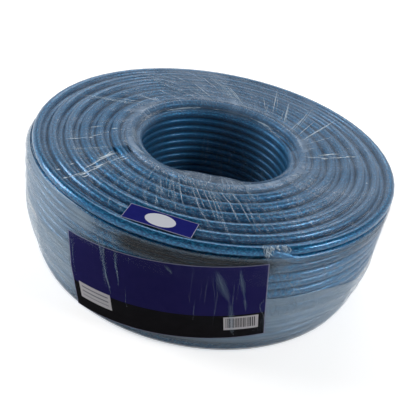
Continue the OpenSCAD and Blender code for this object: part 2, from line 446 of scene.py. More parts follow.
def spanned(azimuth, r, z, s):
    """The same place moved to where the film spans the bore's lip, tight as a chord in front."""
    span = sector(azimuth, *SPAN)
    if span == 0 or r >= FIRST_CREST_R or z < SPAN_FOOT_Z:
        return r, z
    if s > LIP_START:
        t = min((s - LIP_START) / (FACE_START - LIP_START), 1.0)
        target = (SPAN_EDGE[0] + (FIRST_CREST_R - SPAN_EDGE[0]) * t,
                  SPAN_EDGE[1] + (CREST_Z - SPAN_EDGE[1]) * t)
    else:
        t = smooth((z - SPAN_FOOT_Z) / (LIP_START - SPAN_FOOT_Z))
        target = (r + (SPAN_EDGE[0] - r) * t, z + (SPAN_EDGE[1] - LIP_START) * t)
    return r + (target[0] - r) * span, z + (target[1] - z) * span


def wrap_point(azimuth, r, z, s):
    """A place on the through wrap, with its dips between turns and its wrinkles."""
    r, z = spanned(azimuth, r, z, s)
    r += swell(azimuth, r, z)
    if z > FACE_Z:
        sticker = sector(azimuth, STICKER_AZIMUTH, STICKER_HALF, 4)
        on_sticker = sticker * above(r, 105, 3) * below(r, 127, 3)
        z += (web_wrinkle(azimuth, s) - ring_sag(r)) * (1 - on_sticker)
    elif z > 2.5 * MM and r > RIM_TURN_R - 2 * LAYER_STEP:
        on_label = sector(azimuth, LABEL_AZIMUTH, LABEL_HALF + 2, 5) * below(z, 75, 4)
        r += 0.8 * web_wrinkle(azimuth, s) * (1 - on_label)
    return polar(azimuth, r, z)


def film_skin(name, section, lengths, steps, shape, closed, feel, marks):
    """An open skin of film, its section carried round the coil, with a seam at the back.

    feel gives its haze and its marks at an azimuth, a radius and a height."""
    rows = len(section)
    verts = []
    haze = []
    marked = []
    for i in range(steps + 1):
        azimuth = SEAM_AZIMUTH + SEAM_GAP / 2 + (360 - SEAM_GAP) * i / steps
        for (r, z), s in zip(section, lengths):
            verts.append(shape(azimuth, r, z, s))
            milky, mark = feel(azimuth, r, z)
            haze.append(milky)
            marked.append(mark)
    faces = []
    uvs = []
    last = rows if closed else rows - 1
    for i in range(steps):
        for j in range(last):
            a, b = i * rows + j, i * rows + (j + 1) % rows
            faces.append((a, b, b + rows, a + rows))
            for column, row in ((i, j), (i, j + 1), (i + 1, j + 1), (i + 1, j)):
                here = 360 * column / steps
                leant = web_lean(SEAM_AZIMUTH + here, lengths[row]) if closed else 0
                uvs += [WEB_WIDTH * (here - leant) / 360, lengths[row]]
    return make_piece(name, verts, faces, "round_and_across", uvs, {"haze": haze, marks: marked})


# Sectors where the film looks different.
FRONT = (-88, 50, 44)
FRONT_RIGHT = (-38, 18, 22)
LEFT = (176, 26, 34)
TUCK = (-150, 12, 10)  # where the web's gathered edge lies by the bore
WEB_OVERLAP = (84, 14, 22)  # at the first turn of the face; it leans with the web from there
FACE_GAP = (-145.5, 4, 3)  # a clear window between two folds
BY_BORE_RIGHT = (-62, 12, 14)
BY_BORE_BACK = (88, 62, 24)
KNOT = (-69.5, 3, 3)  # where its outer end is tucked in at the rim
RIM_FRONT = (-95, 105, 30)
OVER_LABEL = (-93, 24, 14)
LIP_BACK = (80, 72, 20)
BORE_RIGHT = (60, 30, 30)
GIRTH_LEFT = (-165, 42, 30)
GIRTH_RIGHT = (-40, 24, 16)
GAP_OVER_LABEL = (-90, 22, 9)
GAP_LEFT = (-121, 6, 12)
GIRTH_ON_LABEL = (-96, 22, 8)
FOOT_FRONT = (-88, 44, 30)


def face_feel(azimuth, r):
    """Haze and streaks of the through wrap on the face: clear in front, hazier by the bore. The
    haze away from the front is partly painted reflection of the lights, partly the film's plies.
    """
    front = sector(azimuth, *FRONT)
    by_bore = below(r, 76, 14)
    overlap = sector(azimuth - FACE_LEAN * (r - FIRST_CREST_R), *WEB_OVERLAP)
    on_sticker = sector(azimuth, STICKER_AZIMUTH, STICKER_HALF, 2) * above(r, 107, 1)
    gap = sector(azimuth, *FACE_GAP) * above(r, 67, 2) * below(r, 84, 2)
    back_edge = sector(azimuth, *BY_BORE_BACK) * below(r, 66, 4)
    bare = (1 - on_sticker) * (1 - 0.9 * gap) * (1 - 0.7 * back_edge)
    front_right = sector(azimuth, *FRONT_RIGHT) * below(r, 122, 8)
    tuck = sector(azimuth, *TUCK) * below(r, 72, 10)
    haze = 0.29 - 0.24 * front + 0.26 * by_bore + 0.12 * overlap + 0.08 * front_right
    haze -= 0.10 * sector(azimuth, *LEFT) * (1 - by_bore)
    haze += 0.30 * tuck + 0.22 * by_bore * sector(azimuth, *BY_BORE_RIGHT)
    return haze * bare, (0.25 + 0.25 * front) * bare


def rim_feel(azimuth, z):
    """The same on the rim: nearly clear where it is tight in front, hazier by the knot."""
    on_rim = above(z, 76, 5)
    over_gap = sector(azimuth, *OVER_LABEL) * (1 - on_rim)
    by_knot = 0.18 * sector(azimuth, *KNOT) * on_rim
    haze = 0.08 - 0.07 * max(on_rim * sector(azimuth, *RIM_FRONT), over_gap) + by_knot
    return haze, 0.15 * sector(azimuth, *FRONT) * (1 - over_gap)


def bore_feel(azimuth, r, z):
    """The same in the bore: hazy over its lip, less so at the back."""
    clear_lip = sector(azimuth, *LIP_BACK) * below(r, 60.4, 1.4)
    on_lip = smooth((z - LOW_TOP + 3 * MM) / (3 * MM)) * (1 - 0.65 * clear_lip)
    return 0.06 + 0.06 * sector(azimuth, *BORE_RIGHT) + 0.30 * on_lip, 0.15 + 0.75 * on_lip


def wall_feel(azimuth, z):
    """The same on the wall, where it is nearly clear, and wholly so over the label."""
    front = sector(azimuth, *FRONT)
    off_label = 1 - sector(azimuth, LABEL_AZIMUTH, LABEL_HALF, 2) * below(z, 74, 4)
    return (0.02 + 0.05 * (1 - front)) * off_label, (0.05 + 0.15 * front) * off_label


def wrap_feel(azimuth, r, z):
    """Haze and streaks of the through wrap at a place."""
    if z > FACE_Z and r < RIM_TURN_R - 2 * MM:
        return face_feel(azimuth, r)
    if r > RIM_TURN_R - 3 * MM and z > 60 * MM:
        return rim_feel(azimuth, z)
    if r < FIRST_CREST_R and z > 2 * MM:
        return bore_feel(azimuth, r, z)
    return wall_feel(azimuth, z)


# The girth wraps lie under the through wrap and the label, on the outer turns.
LOW_GIRTH = (1.5 * MM, 47 * MM)
HIGH_GIRTH = (34 * MM, 81 * MM)
GIRTH_ROWS = 36
GIRTH_STEPS = 480
GIRTH_UNDER = 0.55 * MM  # how deep they lie under the through wrap
GIRTH_DIP = 0.25 * MM  # between two turns


def girth_section(low, high, rows):
    """A girth skin's section, following the wall from its lower to its upper edge."""
    points = []
    for i in range(rows + 1):
        z = low + (high - low) * i / rows
        draw_in = (COIL_R - BASE_R) * max(0.0, 1 - z / KNEE_Z)
        points.append((WRAP_WALL_R - GIRTH_UNDER - draw_in, z))
    return points


def girth_point(azimuth, r, z, _):
    """A place on a girth wrap, a little drawn in over the gaps between turns."""
    dip = GIRTH_DIP * math.sin(math.pi * (HIGH_TOP - z) / ROW_STEP) ** 2
    under_label = sector(azimuth, LABEL_AZIMUTH, LABEL_HALF + 3, 8)
    return polar(azimuth, r + swell(azimuth, r, z) * (1 - under_label) - dip, z)


def lower_girth_point(azimuth, r, z, s):
    """The same on the lower wrap, whose upper edge is highest in front."""
    low, high = LOW_GIRTH
    away = smooth((abs(angle_off(azimuth, -92)) - 35) / 33)
    edge = 50 * MM - 14 * MM * away
    return girth_point(azimuth, r, low + (z - low) * (edge - low) / (high - low), s)


def upper_feel(azimuth, _, z):
    """Haze and shadow of the upper girth wrap, which spans a dark gap above the label."""
    in_gap = above(z, 68, 3) * below(z, 81, 2)
    gap = in_gap * sector(azimuth, *GAP_OVER_LABEL)
    gap_left = in_gap * sector(azimuth, *GAP_LEFT)
    gap_right = in_gap * sector(azimuth, *GIRTH_RIGHT)
    on_label = sector(azimuth, *GIRTH_ON_LABEL) * (1 - gap)
    haze = 0.20 + 0.30 * sector(azimuth, *GIRTH_LEFT) + 0.20 * gap_right + 0.3 * gap_left
    return (haze + 0.65 * gap) * (1 - 0.55 * on_label), max(gap, 0.7 * gap_right)


def lower_feel(azimuth, _, z):
    """The same of the lower girth wrap, which has the most plies and is in shade at the foot."""
    shade = 0.85 * (1 - above(z, 2, 16)) * sector(azimuth, *FOOT_FRONT)
    return 0.56 + 0.04 * sector(azimuth, *GIRTH_LEFT), shade


def make_films():
    """The through wrap and the two girth wraps."""
    films = [film_skin("through_wrap", WRAP_SECTION, WRAP_LENGTHS, WRAP_STEPS, wrap_point, True,
                       wrap_feel, "streak")]
    for name, band, point, feel in (
            ("upper_girth_wrap", HIGH_GIRTH, girth_point, upper_feel),
            ("lower_girth_wrap", LOW_GIRTH, lower_girth_point, lower_feel)):
        section = girth_section(*band, GIRTH_ROWS)
        films.append(film_skin(name, section, running_length(section), GIRTH_STEPS, point, False,
                               feel, "shadow"))
    return films


through_wrap, upper_girth, lower_girth = make_films()


# ---------------- folds in the film
# The web is gathered at the bore, so it lies in thin folds that run out over the face and on
# down the wall. Each fold is a low ridge standing on the skin.
FOLD_LIFT = 0.16 * MM
FOLD_STEP_MM = 2.2  # along a fold, so that it follows the rings under the film
GLINT_HEIGHT = 0.4  # in millimetres
rng = random.Random(11)


def section_at(s):
    """Radius and height at a distance along the through wrap."""
    for i in range(len(WRAP_SECTION) - 1):
        if s <= WRAP_LENGTHS[i + 1]:
            t = (s - WRAP_LENGTHS[i]) / (WRAP_LENGTHS[i + 1] - WRAP_LENGTHS[i])
            (r, z), (next_r, next_z) = WRAP_SECTION[i], WRAP_SECTION[i + 1]
            return r + (next_r - r) * t, z + (next_z - z) * t
    return WRAP_SECTION[-1]


def web_place(azimuth, s):
    """A point on the through wrap and the way it faces there."""
    here, along, across = (wrap_point(a, *section_at(at), at) for a, at in (
        (azimuth, s), (azimuth, s + 0.5 * MM), (azimuth + 0.2, s)))
    return here, (along - here).cross(across - here).normalized()


def straight_fold(start, end, steps, waver=0.0, waves=7):
    """Places on a fold from start to end, each an azimuth and a distance along the section."""
    phase = rng.uniform(0, 6.3)
    path = []
    for i in range(steps + 1):
        t = i / steps
        drift = waver * math.sin(phase + waves * t) * math.sin(math.pi * t)
        path.append((start[0] + (end[0] - start[0]) * t + drift,
                     start[1] + (end[1] - start[1]) * t))
    return path


def drawn_fold(path, widths, height, densities):
    """A fold on a path, of a height in millimetres, its width and density drawn from ranges."""
    return path, rng.uniform(*widths) * MM, height * MM, rng.uniform(*densities)


def make_folds(name, folds):
    """One piece of many folds. Each has its path, its width, its height and its density."""
    verts = []
    faces = []
    density = []
    for path, width, height, dense in folds:
        places = [web_place(a, s) for a, s in path]
        last = len(places) - 1
        first_vert = len(verts)
        for i, (here, facing) in enumerate(places):
            heading = places[min(i + 1, last)][0] - places[max(i - 1, 0)][0]
            side = facing.cross(heading).normalized()
            taper = math.sin(math.pi * (i + 0.15) / (last + 0.3)) ** 0.6
            base = here + FOLD_LIFT * facing
            verts += [base - side * width * taper / 2, base + facing * height * taper,
                      base + side * width * taper / 2]
            density += [0.0, dense * taper, 0.0]
        for i in range(last):
            a = first_vert + 3 * i
            faces += [(a, a + 3, a + 4, a + 1), (a + 1, a + 4, a + 5, a + 2)]
    piece = make_piece(name, verts, faces, values={"gather_and_glint": density})
    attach(piece, "root")
    return piece


def lean_on_face(azimuth, r, to_r, extra):
    """The azimuth at another radius of a fold that follows the web across the face."""
    return azimuth + face_lean(azimuth) * (to_r - r) + extra


def crosses_sticker(azimuth, r, to_azimuth, to_r):
    """Whether a straight fold would run over the sticker."""
    for i in range(11):
        t = i / 10
        here, at_r = azimuth + (to_azimuth - azimuth) * t, r + (to_r - r) * t
        near = abs(angle_off(here, STICKER_AZIMUTH)) < STICKER_HALF + 1.5
        if near and 107 * MM < at_r < 126 * MM:
            return True
    return False


def face_fold(places, width, height, dense):
    """A fold on the top face, straight between places given as azimuth and radius in mm."""
    path = []
    for start, end in zip(places, places[1:]):
        first, last = polar(start[0], start[1], 0), polar(end[0], end[1], 0)
        steps = max(4, round((last - first).length / FOLD_STEP_MM))
        for i in range(steps + 1):
            at = first.lerp(last, i / steps)
            path.append((math.degrees(math.atan2(at.y, at.x)), face_place(at.length * MM)))
    return path, width * MM, height * MM, dense


def close_folds(count, azimuths, start, run, widths, densities):
    """Many fine folds over a part of the face. They follow the web and keep off the sticker."""
    folds = []
    for _ in range(count):
        azimuth = rng.uniform(*azimuths)
        r = min(start[0] + abs(rng.gauss(0, start[1])), 120)
        to_r = min(r + rng.uniform(*run), 126)
        turned = lean_on_face(azimuth, r * MM, to_r * MM, rng.uniform(-2.5, 2.5))
        width, dense = rng.uniform(*widths), rng.uniform(*densities)
        if not crosses_sticker(azimuth, r * MM, turned, to_r * MM):
            folds.append(face_fold(((azimuth, r), (turned, to_r)), width, 0.12, dense))
    return folds


# Single folds that stand out on the face, as azimuth and radius in millimetres of their ends.
BACK_LINES = (
    ((128.8, 124), (121.4, 93)), ((126.3, 111), (125.6, 94)), ((120.7, 87), (102.8, 58)),
    ((108.4, 102), (96.8, 64)), ((92.8, 106), (69.7, 60)), ((90.8, 103), (75.7, 68)),
    ((142.8, 96), (133.3, 68)), ((145.5, 85), (139.5, 65)), ((158.4, 94), (146.7, 66)),
    ((136, 122), (127, 98)), ((118, 118), (108, 92)), ((104, 118), (93, 84)),
    ((100.2, 120), (92, 92)), ((131, 90), (124, 66)), ((113, 84), (102, 64)))
FAN_LINES = (
    ((24.7, 61), (51.3, 126)), ((26.3, 60), (49.4, 112)), ((10.9, 58), (35.7, 112)),
    ((11.4, 58), (38.9, 127)), ((37.1, 60), (59.8, 108)), ((52.3, 64), (69.6, 127)),
    ((60.3, 69), (71.6, 99)), ((50.9, 67), (68, 120)), ((34.7, 59), (58.1, 103)),
    ((4.5, 61), (10.4, 77)), ((8.4, 59), (24.6, 103)), ((20, 60), (40, 100)), ((30, 60), (44, 92)),
    ((42, 61), (58, 96)), ((57, 62), (66, 90)), ((-6, 60), (0, 80)))
LONG_LINES = (
    ((-114.9, 60), (-104.5, 83), (-98.7, 106)), ((-112.3, 59), (-99.1, 91), (-94.6, 108)),
    ((-104.8, 60), (-91.5, 97), (-85.9, 119)), ((-95.7, 60), (-86.3, 89), (-84, 116)),
    ((-93.3, 58), (-83.7, 98), (-82.5, 123)), ((-99, 58), (-88, 90), (-85, 112)),
    ((-102, 60), (-92, 86), (-88, 104)), ((-80.5, 65), (-72.8, 80), (-73.1, 106), (-71.7, 124)),
    ((-84, 60), (-76, 82), (-74.5, 104), (-73, 122)), ((-90, 60), (-80, 86), (-78, 110)),
    ((-30.1, 61), (-36.7, 68), (-42.8, 78), (-50.7, 91), (-57.4, 107), (-61.7, 118)))
# Painted highlights: short broad pale folds, with their widths in millimetres, and specks of
# painted highlight.
GLINTS = (
    ((-143.7, 78), (-140.3, 97), 2.55), ((-136.3, 93), (-135.7, 104), 2.1),
    ((-134, 107), (-133.4, 116), 2.1), ((-132.2, 108), (-132.1, 116), 1.95),
    ((-140.7, 110), (-140, 115), 1.95), ((-138.8, 121), (-138.7, 125), 2.25),
    ((-134.2, 121), (-134, 126), 1.95), ((-136.6, 74), (-136.3, 84), 1.2),
    ((-139.5, 72), (-136.6, 92), 1.05), ((-134.6, 105), (-133.8, 127), 1.05),
    ((-145.5, 80), (-142, 88), 1.2), ((-168.8, 71), (-167, 77), 2.25),
    ((-170.1, 81), (-166.5, 94), 1.05), ((-158.2, 89), (-157.8, 93), 1.95),
    ((-158.2, 90), (-156.4, 112), 1.05), ((-161.7, 81), (-158.6, 93), 1.05),
    ((-143.5, 77), (-138.2, 103), 1.35), ((-141.0, 88), (-135.5, 112), 1.35),
    ((-138.5, 84), (-132.5, 118), 1.05), ((-136.0, 88), (-133.0, 124), 0.9),
    ((0, 72), (6.7, 93), 2.25), ((-2.7, 75), (-0.3, 82), 2.55), ((-0.3, 81), (4.2, 97), 1.65),
    ((3.7, 94), (4.9, 99), 3), ((4.9, 98), (5.6, 104), 1.95))
SPECKS = (
    (-38.8, 81), (-57.8, 83), (-14.7, 109.5), (-65.5, 62), (-72.5, 62), (-91, 64), (-130, 68),
    (-122, 66), (109, 74), (-41, 78), (-30, 76))
# Broad ropes of gathered film, with their width in millimetres and their density.
ROPES = (
    ((166, 118), (151, 66), 6.5, 0.5), ((-177, 62), (-149, 63), 9.0, 0.42),
    ((99, 119), (74, 62), 11, 0.42), ((112, 94), (98, 62), 8, 0.36),
    ((128, 112), (116, 72), 6, 0.3), ((-149.7, 116), (-148.9, 73), 2.0, 0.5),
    ((-150, 68), (-118, 61), 5.0, 0.6), ((-32, 64), (-30, 84), 6.0, 0.35),
    ((88, 124), (70, 108), 10, 0.25))


def marked_folds():
    """The single folds, the glints and specks, which are painted highlights, and the ropes."""
    folds = [face_fold(line, rng.uniform(0.9, 1.4), 0.15, rng.uniform(0.6, 0.95))
             for line in BACK_LINES + FAN_LINES]
    folds += [face_fold(line, rng.uniform(0.9, 1.4), 0.15, rng.uniform(0.4, 0.65))
              for line in LONG_LINES]
    folds += [face_fold((start, end), width, GLINT_HEIGHT, 1.0) for start, end, width in GLINTS]
    folds += [face_fold(((azimuth, r - 0.7), (azimuth + 1.0, r + 0.7)), 1.5, GLINT_HEIGHT, 1.0)
              for azimuth, r in SPECKS]
    folds += [face_fold((start, end), width, 0.3, dense) for start, end, width, dense in ROPES]
    return folds


# Parts of the face with many fine folds: how many, their azimuths, where they start (a radius
# and its spread) and how far they run in millimetres, their widths and their densities.
CLOSE_FOLDS = (
    (130, (-128, -62), (60, 9), (8, 26), (0.7, 1.2), (0.1, 0.36)),
    (190, (-152, -104), (74, 22), (8, 17), (0.6, 1.0), (0.14, 0.48)),
    (110, (-72, -40), (84, 18), (8, 18), (0.6, 1.0), (0.12, 0.42)),
    (30, (-192, -150), (66, 22), (6, 20), (0.7, 1.2), (0.1, 0.3)),
    (30, (-50, -5), (62, 16), (8, 24), (0.7, 1.2), (0.1, 0.3)),
    (50, (0, 165), (62, 28), (10, 30), (0.7, 1.2), (0.1, 0.28)),
    (60, (-136, -48), (54, 4), (6, 18), (0.8, 1.3), (0.1, 0.3)))


def face_folds():
    """All folds of the top face: close and fine in front of the bore, sparse at the back."""
    return [fold for part in CLOSE_FOLDS for fold in close_folds(*part)] + marked_folds()


# Azimuths of a painted highlight along the lip at the back, the number of painted sparks on it and
# its density.
LIP_GLINTS = ((106, 142, 20, 0.75), (42, 63, 12, 0.75), (66, 100, 4, 0.15))


def lip_glints():
    """Painted highlights where the film is drawn tightly over the bore's top turn at the back, with
    sparks.
    """
    folds = []
    lip_s = WRAP_LENGTHS[BORE_ROWS + 4]
    for first, last, count, painted_shine in LIP_GLINTS:
        folds.append((straight_fold((first, lip_s), (last, lip_s), 40), 2.4 * MM, 0.12 * MM, painted_shine))
        for _ in range(count):
            azimuth = rng.uniform(first, last)
            s = lip_s + rng.uniform(-0.9, 0.9) * MM
            path = straight_fold((azimuth, s), (azimuth + rng.uniform(2.0, 6.0), s), 8)
            folds.append(drawn_fold(path, (0.6, 1.1), 0.15, (0.3, 0.9)))
    return folds


# Folds on the wall, as azimuth and height in millimetres of their ends, width and density.
WALL_LINES = (
    ((-118.3, 84), (-117.1, 74), 1.4, 0.5), ((-117.1, 74), (-114.5, 57), 1.6, 0.5),
    ((-114.5, 57), (-110.8, 31), 1.6, 0.5), ((-115.8, 84), (-113.4, 50), 0.9, 0.4),
    ((-112.7, 83), (-111.1, 66), 0.9, 0.4), ((-111.1, 66), (-108.6, 40), 1.8, 0.42),
    ((-116, 82), (-112.6, 36), 5.0, 0.22), ((-112, 82), (-109.6, 50), 4.0, 0.16),
    ((-84.6, 72), (-79.5, 49), 7.0, 0.26), ((-79.5, 50), (-75.8, 17), 5.0, 0.26),
    ((-78.5, 74), (-75.7, 52), 3.6, 0.26), ((-75.7, 53), (-74.5, 42), 2.4, 0.26),
    ((-97.2, 69), (-95.1, 63), 3.4, 0.24), ((-107, 44), (-106, 24), 0.7, 0.3),
    ((-134.8, 83), (-133.4, 61), 0.8, 0.45), ((-129.4, 80), (-129.1, 67), 0.8, 0.4),
    # the next two are painted highlights just under the rim, drawn as pale folds
    ((-143, 81.6), (-117, 83), 2.0, 0.6), ((-137, 82.2), (-121, 83.2), 1.2, 0.9),
    ((-138, 80), (-136, 56), 0.8, 0.3), ((-54.7, 73), (-52.4, 58), 3.0, 0.3),
    ((-51.1, 74), (-49.5, 60), 3.0, 0.25), ((-54.7, 51), (-52.2, 20), 3.2, 0.28),
    ((-58.5, 66), (-56.5, 22), 1.0, 0.3), ((-47, 70), (-44, 40), 1.0, 0.25))


def hanging_fold(azimuth, high, to_azimuth, low, steps, waver, waves=7):
    """Places on a fold down the wall, between two heights in millimetres."""
    return straight_fold((azimuth, wall_place(high * MM)), (to_azimuth, wall_place(low * MM)),
                         steps, waver, waves)


def wall_folds():
    """Folds that hang down the wall: taut ones, two of them painted highlights under the rim, and
    slack loops just right of the label.
    """
    folds = [(hanging_fold(*start, *end, 16, 0.1), width * MM, 0.12 * MM, dense)
             for start, end, width, dense in WALL_LINES]
    for _ in range(12):
        azimuth = rng.uniform(-71, -61)
        high, low = rng.uniform(66, 78), rng.uniform(14, 40)
        path = hanging_fold(azimuth, high, azimuth + rng.uniform(1, 4), low, 30, 1.1, 15)
        folds.append(drawn_fold(path, (0.5, 0.9), 0.12, (0.3, 0.6)))
    for _ in range(34):
        azimuth = rng.uniform(-165, -30)
        high = rng.uniform(46, 80)
        low = max(high - rng.uniform(8, 34), 6)
        path = hanging_fold(azimuth, high, azimuth + rng.uniform(0.2, 2.6), low, 12, 0.1)
        folds.append(drawn_fold(path, (0.5, 0.9), 0.12, (0.1, 0.28)))
    return folds


# Tufts of the knot: azimuth of the middle, millimetres it hangs below the rim, number of folds.
TUFTS = ((-72.2, 8.5, 12), (-67.6, 5.5, 12), (-70.2, 4.0, 8))


def knot_folds():
    """The gathered end of the web, tucked under itself at the rim in tufts."""
    folds = []
    for middle, low_end, count in TUFTS:
        for _ in range(count):
            start = (middle + rng.uniform(-1.3, 1.3), FACE_END + rng.uniform(-0.5, 2.0) * MM)
            end = (middle + rng.uniform(-1.0, 1.0), FACE_END + rng.uniform(2.5, low_end) * MM)
            path = straight_fold(start, end, 8, 0.5, 5)
            width, height = rng.uniform(0.8, 2.2) * MM, rng.uniform(0.4, 1.1) * MM
            folds.append((path, width, height, rng.uniform(0.6, 1.0)))
    return folds


# Painted highlights where the film is tight over the rim, drawn as pale folds, as azimuths,
# distance past the face's edge, width in millimetres and density.
RIM_GLINTS = ((-86, -80, 2.8, 0.6, 0.4), (-158, -146, 4.6, 1.1, 0.5), (-151, -141, 4.2, 0.9, 0.4))


def rim_glints():
    """Long painted highlights on the rim, drawn as pale folds."""
    return [(straight_fold((first, FACE_END + past * MM), (last, FACE_END + past * MM), 30),
             width * MM, 0.08 * MM, dense)
            for first, last, past, width, dense in RIM_GLINTS]


def bore_folds():
    """Upright folds in the bore."""
    folds = []
    for _ in range(20):
        azimuth = rng.uniform(34, 104)
        top, low = rng.uniform(50, 70) * MM, rng.uniform(6, 34) * MM
        path = straight_fold((azimuth, low), (azimuth + rng.uniform(-5, 5), top), 14, 0.8)
        folds.append(drawn_fold(path, (0.8, 3.0), 0.15, (0.15, 0.45)))
    return folds


# The glints, specks, sparks and rim and lip glints among these folds are painted highlights.
face_creases = make_folds("face_creases", face_folds())
wall_creases = make_folds("wall_creases", wall_folds() + knot_folds() + rim_glints())
bore_creases = make_folds("bore_creases", bore_folds() + lip_glints())

for film, node, slot, flat, creases in (
        (through_wrap, "bore_film", "clear_film", (WEB_LENGTH, WEB_WIDTH),
         [face_creases, wall_creases, bore_creases]),
        (upper_girth, "upper_girth_film", "girth_film", (0.047, 0.82), []),
        (lower_girth, "lower_girth_film", "girth_film", (0.040, 0.80), [])):
    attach(film, "root")
    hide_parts(node)


# ---------------- materials
def srgb(value):
    """Linear colour of an sRGB hex value."""
    channels = [int(value[i:i + 2], 16) / 255 for i in (1, 3, 5)]
    return [c / 12.92 if c <= 0.04045 else ((c + 0.055) / 1.055) ** 2.4 for c in channels] + [1.0]


def connect(tree, node, sockets):
    """Set a node's sockets to constants or sRGB hex colours, or link them to other nodes."""
    for name, value in sockets.items():
        if isinstance(value, bpy.types.NodeSocket):
            tree.links.new(value, node.inputs[name])
        else:
            node.inputs[name].default_value = srgb(value) if isinstance(value, str) else value


def add_node(tree, kind, sockets=None, **settings):
    """A node with its settings and its sockets."""
    node = tree.nodes.new("ShaderNode" + kind)
    for name, value in settings.items():
        setattr(node, name, value)
    connect(tree, node, sockets or {})
    return node


def calculate(tree, operation, *values, **settings):
    """The result of a maths node on up to three values."""
    sockets = dict(enumerate(values))
    return add_node(tree, "Math", sockets, operation=operation, **settings).outputs[0]


def attribute(tree, name):
    """A value that the piece has at its points."""
    return add_node(tree, "Attribute", attribute_name=name).outputs["Fac"]


def uv_place(tree, name):
    """Coordinates in metres from a piece's UV map."""
    return add_node(tree, "UVMap", uv_map=name).outputs["UV"]


def object_place(tree):
    """Object coordinates in metres."""
    return add_node(tree, "TexCoord").outputs["Object"]


def blotches(tree, place, size, detail=3.0):
    """Noise of one size in metres."""
    sockets = {"Vector": place, "Scale": 1 / size, "Detail": detail}
    return add_node(tree, "TexNoise", sockets).outputs["Fac"]


def drawn_out(tree, place, size, detail, roughness=0.5, turn=0):
    """Noise with a size of its own in metres along each axis, turned by some degrees."""
    way = add_node(tree, "Mapping",
                   {"Vector": place, "Rotation": (0, 0, math.radians(turn)),
                    "Scale": [1 / length for length in size]})
    return add_node(tree, "TexNoise",
                    {"Vector": way.outputs["Vector"], "Scale": 1.0, "Detail": detail,
                     "Roughness": roughness}).outputs["Fac"]


def ranged(tree, value, first, last, to_first=0.0, to_last=1.0, **settings):
    """A value carried from one range to another."""
    return add_node(tree, "MapRange",
                    {"Value": value, "From Min": first, "From Max": last, "To Min": to_first,
                     "To Max": to_last}, **settings).outputs["Result"]


def over(tree, below_it, above_it, mask):
    """One colour laid over another where the mask is 1."""
    return add_node(tree, "Mix", {0: mask, 6: below_it, 7: above_it},
                    data_type="RGBA").outputs[2]


def length_of(tree, vector):
    """The length of a vector."""
    return add_node(tree, "VectorMath", {0: vector}, operation="LENGTH").outputs["Value"]


def relief(tree, height, strength):
    """Fine relief from a pattern."""
    return add_node(tree, "Bump", {"Height": height, "Strength": strength,
                                   "Distance": 0.1 * MM}).outputs["Normal"]


def new_material(name):
    """An empty material and its node tree."""
    material = bpy.data.materials.new(name)
    material.use_nodes = True
    return material, material.node_tree


def shaded(material, sockets):
    """The material, with its principled shader's sockets set or linked."""
    tree = material.node_tree
    connect(tree, tree.nodes["Principled BSDF"], sockets)
    return material


WIRE_LAY = 28  # degrees off the cable's length


def clear_blue_pvc(first_layer, coat, roughness):
    """Extruded PVC, clear and tinted blue, over a served copper shield.

    The glossy jacket gives sharp highlights, and the tinned wires under it a metallic sparkle.
    The wires are about 0.1 mm thick, too fine to show, so they are drawn as flecks of 1 mm.
    The first layer's metres, in the bore, are painted darker: painted shade for the dim bore."""
    material, tree = new_material("clear_blue_pvc_over_served_shield")
    lay = uv_place(tree, "length_and_girth")
    wires = drawn_out(tree, lay, (1.9 * MM, 1.0 * MM, 1), 2.0, 0.65, WIRE_LAY)
    fleck = ranged(tree, wires, 0.40, 0.74, interpolation_type="SMOOTHSTEP")
    tint = drawn_out(tree, lay, (60 * MM, 9 * MM, 1), 2.0)
    deep = over(tree, "#00375f", "#035485", tint)
    metres = add_node(tree, "SeparateXYZ", {"Vector": lay}).outputs["X"]
    # painted shade: the wires of the first layer, in the bore, are drawn darker
    painted_bore_shade = calculate(tree, "LESS_THAN", metres, first_layer)
    lit = over(tree, "#2d8fc0", "#1d6c92", painted_bore_shade)
    return shaded(material, {"Base Color": over(tree, deep, lit, fleck),
                             "Normal": relief(tree, fleck, 0.15), "Metallic": 0.45,
                             "Roughness": roughness, "IOR": 1.53, "Specular IOR Level": 0.2,
                             "Coat Weight": coat, "Coat Roughness": 0.07, "Coat IOR": 1.5})


def clear_stretch_film():
    """Blown polyethylene stretch film, several plies, wound clear.

    Its faint haze greys what lies under it, and its stretch marks show as thin light streaks.
    The marks are under 0.3 mm wide, so they are drawn about 2 mm wide."""
    material, tree = new_material("clear_polyethylene_stretch_film")
    web = uv_place(tree, "round_and_across")
    marks = drawn_out(tree, web, (2.6 * MM, 80 * MM, 1), 3.0, 0.6)
    mark = ranged(tree, marks, 0.53, 0.72, 0.0, 0.42)
    clouds = drawn_out(tree, web, (16 * MM, 40 * MM, 1), 4.0, 0.6)
    cloud = ranged(tree, clouds, 0.3, 0.7, 0.6, 1.4)
    streak = calculate(tree, "MULTIPLY", mark, attribute(tree, "streak"))
    density = calculate(tree, "MULTIPLY_ADD", attribute(tree, "haze"), cloud, streak,
                        use_clamp=True)
    return shaded(material, {"Base Color": "#8fadce", "Alpha": density, "Roughness": 0.16,
                             "IOR": 1.51})


def hazy_girth_film():
    """The same film wound tightly round the wall in many plies.

    The plies scatter more light, so the band is milky, with level lines where their edges lie."""
    material, tree = new_material("milky_polyethylene_girth_film")
    web = uv_place(tree, "round_and_across")
    lines = drawn_out(tree, web, (220 * MM, 2.4 * MM, 1), 3.0, 0.6)
    line = ranged(tree, lines, 0.3, 0.7, 0.72, 1.28)
    density = calculate(tree, "MULTIPLY", attribute(tree, "haze"), line, use_clamp=True)
    # painted shadow: where the shadow value is high the film is painted near black, for the shade
    # above the label, right of it and at the foot in front
    colour = over(tree, "#b0c6d8", "#14181c", attribute(tree, "shadow"))
    return shaded(material, {"Base Color": colour, "Alpha": density, "Roughness": 0.22,
                             "IOR": 1.51, "Specular IOR Level": 0.25})


